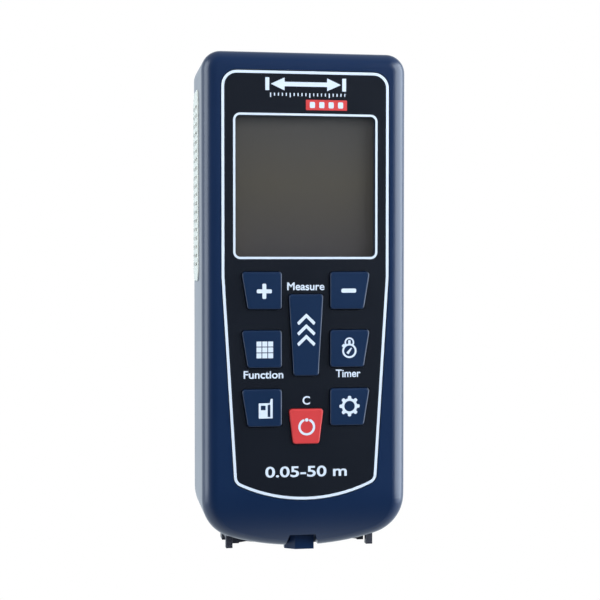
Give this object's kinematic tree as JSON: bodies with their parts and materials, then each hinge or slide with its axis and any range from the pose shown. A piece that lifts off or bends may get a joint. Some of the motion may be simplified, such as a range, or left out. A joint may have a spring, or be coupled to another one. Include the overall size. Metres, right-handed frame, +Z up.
{
  "type": "laser distance meter",
  "caption": "Hand-held laser distance meter: rounded navy case, square display over a keypad, side grips, rear battery bay, tripod bush and a fold-out end bracket.",
  "frame": {"origin": "on the ground under the middle of the instrument standing upright on its two feet and strap lug", "axes": "+X to the right as the user reads the display, +Y from the display face to the rear, +Z up towards the laser end"},
  "size_m": [0.0478, 0.0283, 0.1151],
  "materials": {
    "navy_shell": "satin moulded ABS, fine texture",
    "navy_key": "satin moulded plastic",
    "red_key": "satin moulded plastic",
    "black_overlay": "printed polyester film with a fine matt front",
    "clear_window": "clear acrylic",
    "lcd_glass": "grey-brown reflective liquid crystal glass",
    "white_plastic": "moulded white plastic",
    "grey_silicone": "moulded silicone",
    "black_foam": "closed-cell foam",
    "circuit_board": "green solder mask",
    "contact_steel": "nickel-plated",
    "screw_steel": "zinc-plated",
    "chip_resin": "black moulding resin",
    "cell_jacket": "plain printed jacket over a light metal can, as dense as a whole dry cell",
    "bench_alloy": "die-cast, as cast",
    "lens_glass": "polished, coated",
    "black_plastic": "satin black",
    "brass": "turned",
    "amber_film": "polyimide film",
    "pale_grip": "soft-touch, fine ribs",
    "silver_label": "blank metallised film",
    "charcoal_plastic": "glass-filled nylon"
  },
  "bodies": {
    "root": {"battery_left": "cell_jacket", "battery_right": "cell_jacket", "battery_springs": "contact_steel", "bench_screws": "screw_steel", "board_components": "chip_resin", "board_screws": "screw_steel", "bracket_pins": "contact_steel", "bridge_contact": "contact_steel", "buzzer": "chip_resin", "case_screws": "screw_steel", "collimator_lens": "lens_glass", "detector_board": "circuit_board", "detector_ribbon": "amber_film", "display_gasket": "black_foam", "display_window": "clear_window", "feet": "charcoal_plastic", "front_housing": "navy_shell", "housing_gasket": "grey_silicone", "keypad_mat": "grey_silicone", "laser_barrel": "brass", "laser_diode": "contact_steel", "laser_ribbon": "amber_film", "laser_window": "clear_window", "lcd_backlight": "white_plastic", "lcd_frame": "white_plastic", "lcd_panel": "lcd_glass", "lens_retainer": "black_plastic", "light_filter": "lens_glass", "main_board": "circuit_board", "minus_contact": "contact_steel", "optical_bench": "bench_alloy", "optics_bezel": "black_plastic", "panel_overlay": "black_overlay", "photodiode": "contact_steel", "plus_contact": "contact_steel", "processor_chip": "chip_resin", "rear_housing": "navy_shell", "rear_label": "silver_label", "receiver_lens": "lens_glass", "receiver_window": "clear_window", "side_grip_left": "pale_grip", "side_grip_right": "pale_grip", "snap_domes": "contact_steel", "tripod_bush": "brass", "zebra_strip": "grey_silicone"},
    "key_function": {"key_function": "navy_key"},
    "key_measure": {"key_measure": "navy_key"},
    "key_minus": {"key_minus": "navy_key"},
    "key_plus": {"key_plus": "navy_key"},
    "key_power": {"key_power": "red_key"},
    "key_reference": {"key_reference": "navy_key"},
    "key_settings": {"key_settings": "navy_key"},
    "key_timer": {"key_timer": "navy_key"},
    "battery_door": {"battery_door": "navy_shell", "door_foam": "black_foam"},
    "end_bracket": {"end_bracket": "charcoal_plastic"}
  },
  "joints": [
    {"name": "key_function_press", "type": "slide", "parent": "root", "child": "key_function", "axis": [0, 1, 0], "range_m": [0, 0.0005], "stiffness_N_per_m": 400, "springref_m": -0.0005},
    {"name": "key_measure_press", "type": "slide", "parent": "root", "child": "key_measure", "axis": [0, 1, 0], "range_m": [0, 0.0005], "stiffness_N_per_m": 400, "springref_m": -0.0005},
    {"name": "key_minus_press", "type": "slide", "parent": "root", "child": "key_minus", "axis": [0, 1, 0], "range_m": [0, 0.0005], "stiffness_N_per_m": 400, "springref_m": -0.0005},
    {"name": "key_plus_press", "type": "slide", "parent": "root", "child": "key_plus", "axis": [0, 1, 0], "range_m": [0, 0.0005], "stiffness_N_per_m": 400, "springref_m": -0.0005},
    {"name": "key_power_press", "type": "slide", "parent": "root", "child": "key_power", "axis": [0, 1, 0], "range_m": [0, 0.0005], "stiffness_N_per_m": 400, "springref_m": -0.0005},
    {"name": "key_reference_press", "type": "slide", "parent": "root", "child": "key_reference", "axis": [0, 1, 0], "range_m": [0, 0.0005], "stiffness_N_per_m": 400, "springref_m": -0.0005},
    {"name": "key_settings_press", "type": "slide", "parent": "root", "child": "key_settings", "axis": [0, 1, 0], "range_m": [0, 0.0005], "stiffness_N_per_m": 400, "springref_m": -0.0005},
    {"name": "key_timer_press", "type": "slide", "parent": "root", "child": "key_timer", "axis": [0, 1, 0], "range_m": [0, 0.0005], "stiffness_N_per_m": 400, "springref_m": -0.0005},
    {"name": "battery_door_lift", "type": "slide", "parent": "root", "child": "battery_door", "axis": [0, 1, 0], "range_m": [0, 0.025]},
    {"name": "end_bracket_fold", "type": "hinge", "parent": "root", "child": "end_bracket", "pos_m": [0, 0.009, 0.0014], "axis": [1, 0, 0], "range_deg": [0, 180]}
  ]
}
